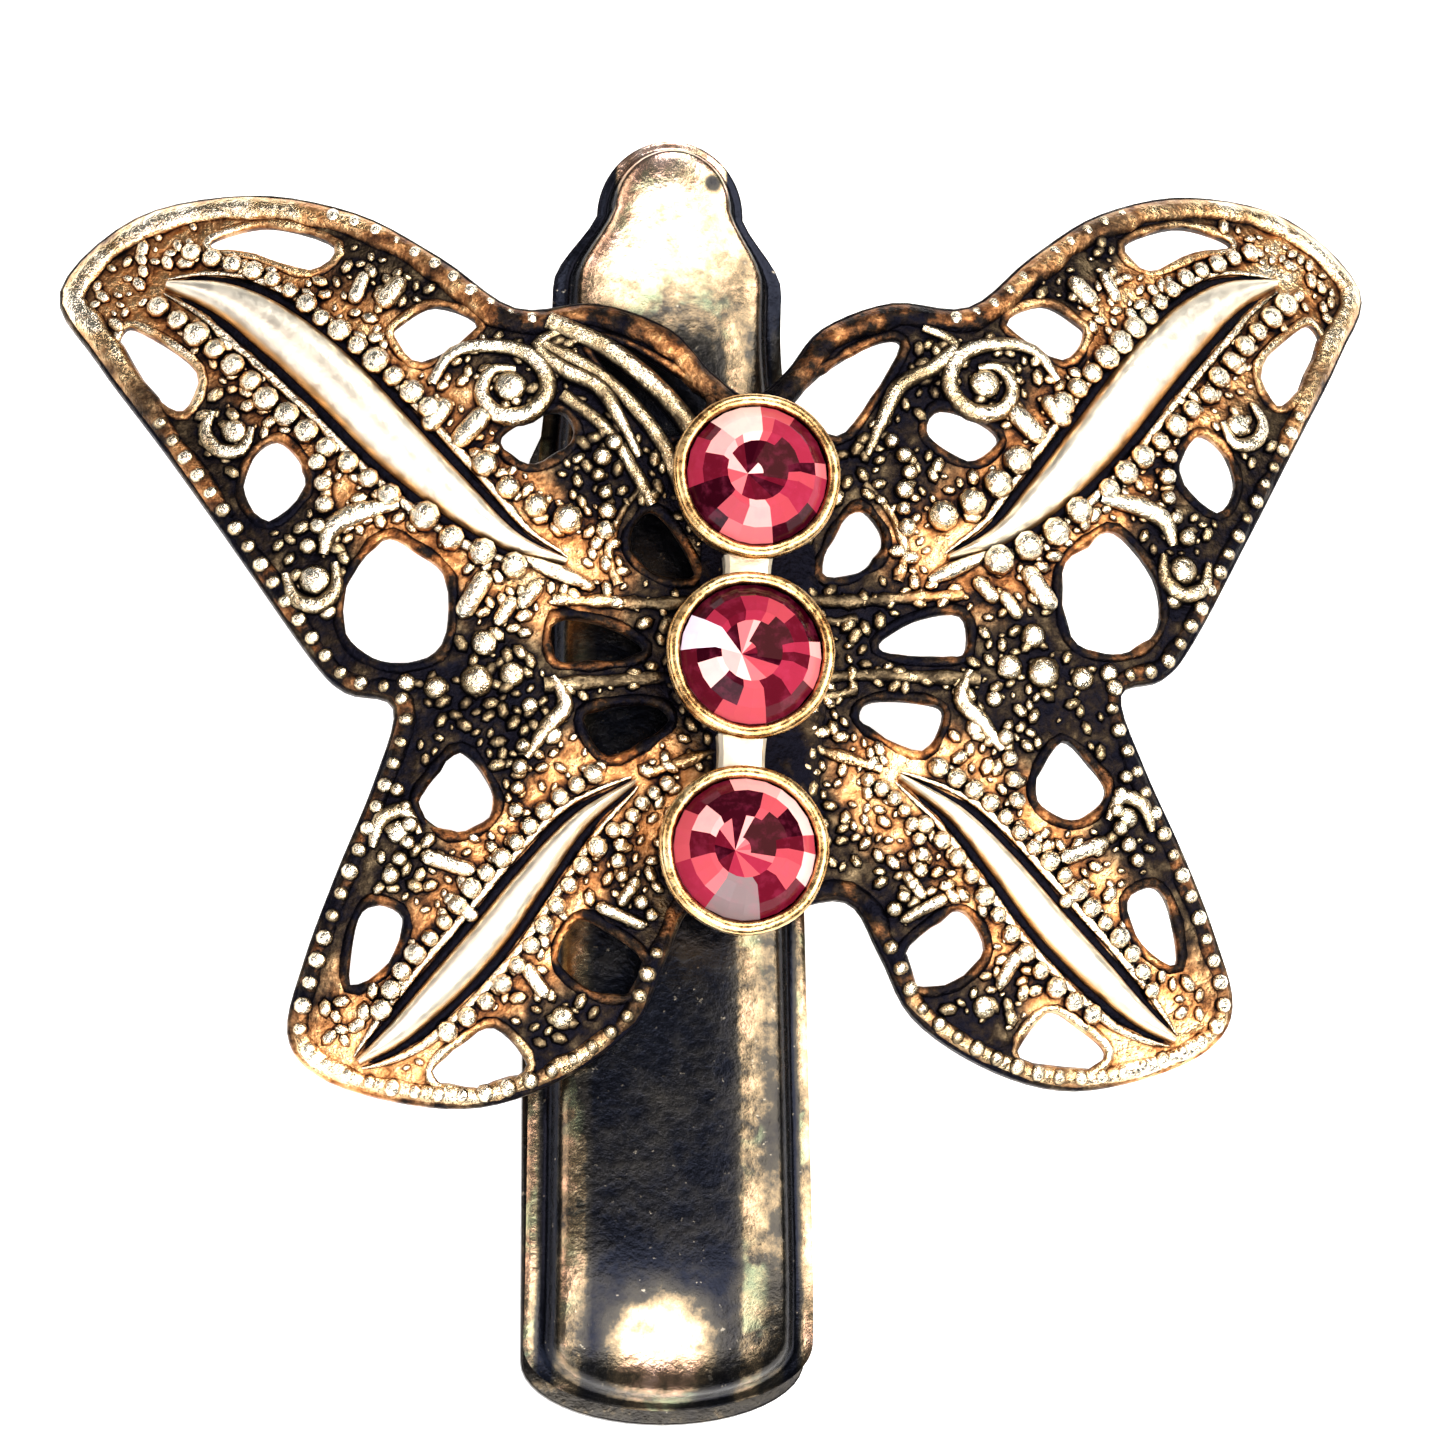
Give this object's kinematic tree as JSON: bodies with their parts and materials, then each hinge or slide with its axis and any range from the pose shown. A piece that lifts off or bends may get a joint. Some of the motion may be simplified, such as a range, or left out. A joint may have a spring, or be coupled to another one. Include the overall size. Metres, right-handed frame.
{
  "type": "butterfly hair clip",
  "caption": "Spring hair clip: two sheet metal arms on a pin, with a pierced metal butterfly and set round stones on top.",
  "frame": {"origin": "On the underside of the lower arm, on its centre line, straight below the hinge pin's axis.", "axes": "+X across the clip, to the right with the butterfly towards the viewer and the thumb tab up. +Y along the lower arm from the beak to the thumb tab. +Z out of the lower arm, up through the butterfly."},
  "size_m": [0.0478, 0.0444, 0.0118],
  "materials": {
    "arm_brass": "antiqued brass plating on steel sheet, mottled dark with worn pale edges",
    "antique_brass": "antiqued cast brass, near black in the low ground, pale gold on the high relief",
    "cup_brass": "warm golden brass with brown tarnish, polished rims",
    "spring_steel": "plain drawn wire",
    "solder": "dull soft solder",
    "rose_glass": "faceted rose pink glass, foiled behind, opaque to the eye"
  },
  "bodies": {
    "lower": {"lower_arm": "arm_brass", "hinge_pin": "spring_steel", "torsion_spring": "spring_steel"},
    "upper": {"upper_arm": "arm_brass", "solder_pad_front": "solder", "solder_pad_rear": "solder", "butterfly": "antique_brass", "cup_top": "cup_brass", "cup_middle": "cup_brass", "cup_bottom": "cup_brass", "link_upper": "cup_brass", "link_lower": "cup_brass", "stone_top": "rose_glass", "stone_middle": "rose_glass", "stone_bottom": "rose_glass"}
  },
  "joints": [
    {"name": "clip_hinge", "type": "hinge", "parent": "lower", "child": "upper", "pos_m": [0, 0, 0.003], "axis": [-1, 0, 0], "range_deg": [0, 24], "stiffness_Nm_per_rad": 0.03, "springref_deg": -57.3, "deforming": ["torsion_spring"]}
  ]
}
